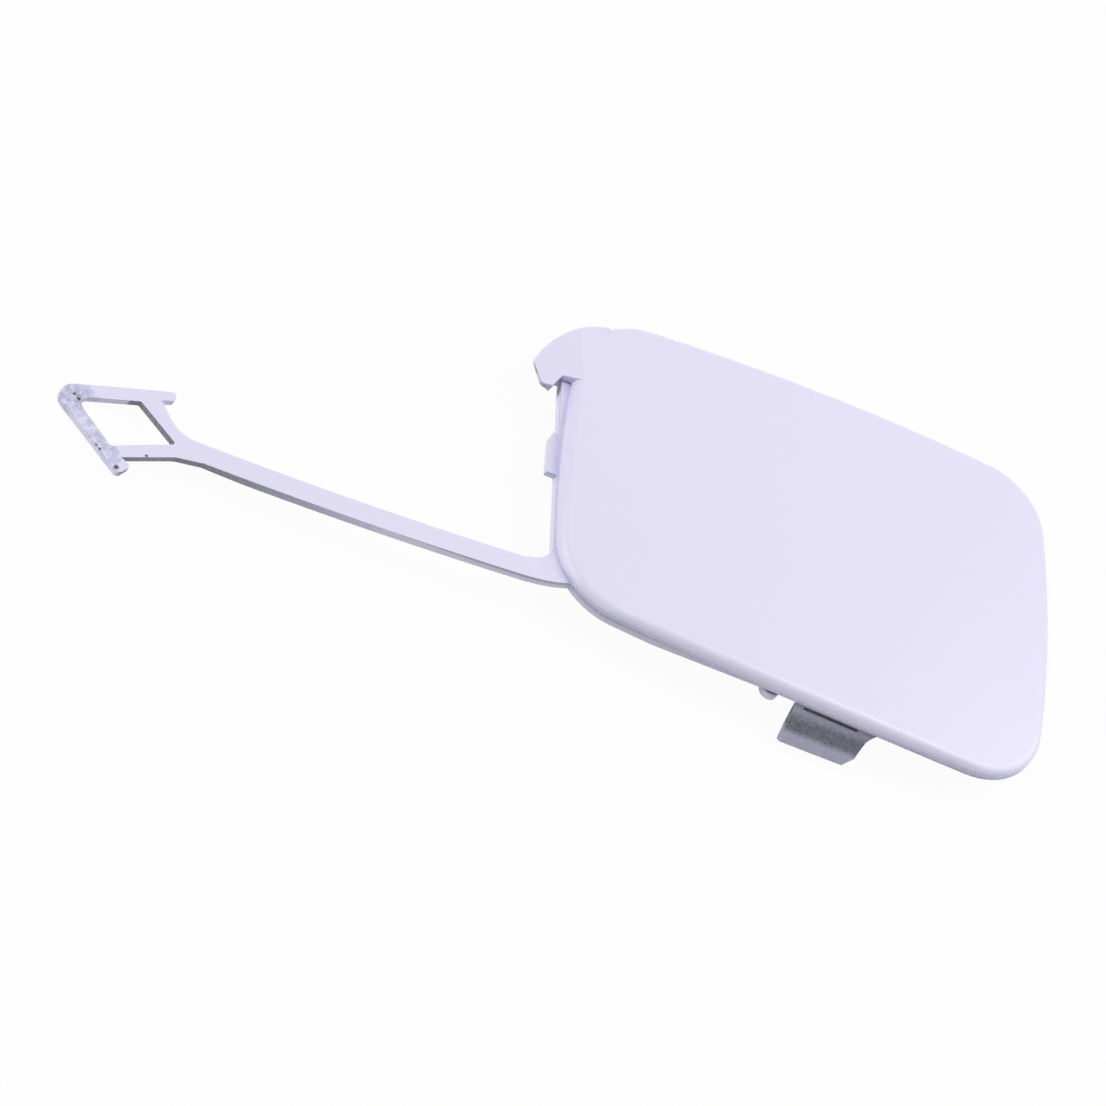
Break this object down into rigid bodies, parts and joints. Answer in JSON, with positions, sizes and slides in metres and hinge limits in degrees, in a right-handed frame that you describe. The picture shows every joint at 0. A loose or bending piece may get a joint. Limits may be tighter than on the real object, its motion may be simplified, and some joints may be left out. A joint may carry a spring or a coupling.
{
  "type": "bumper tow hook cover",
  "caption": "Painted bumper towing-eye cover with a hook-in tongue, a locating finger and a tether strap that ends in a hollow push-in anchor.",
  "frame": {"origin": "middle of the panel in the seat plane of the rear flange", "axes": "+X along the panel's long side, away from the tether strap; +Y up the panel, away from the hook-in tongue; +Z out of the painted face"},
  "size_m": [0.1601, 0.0632, 0.0099],
  "materials": {
    "painted_plastic": "gloss"
  },
  "bodies": {
    "root": {"tow_eye_cover": "painted_plastic"}
  },
  "joints": []
}
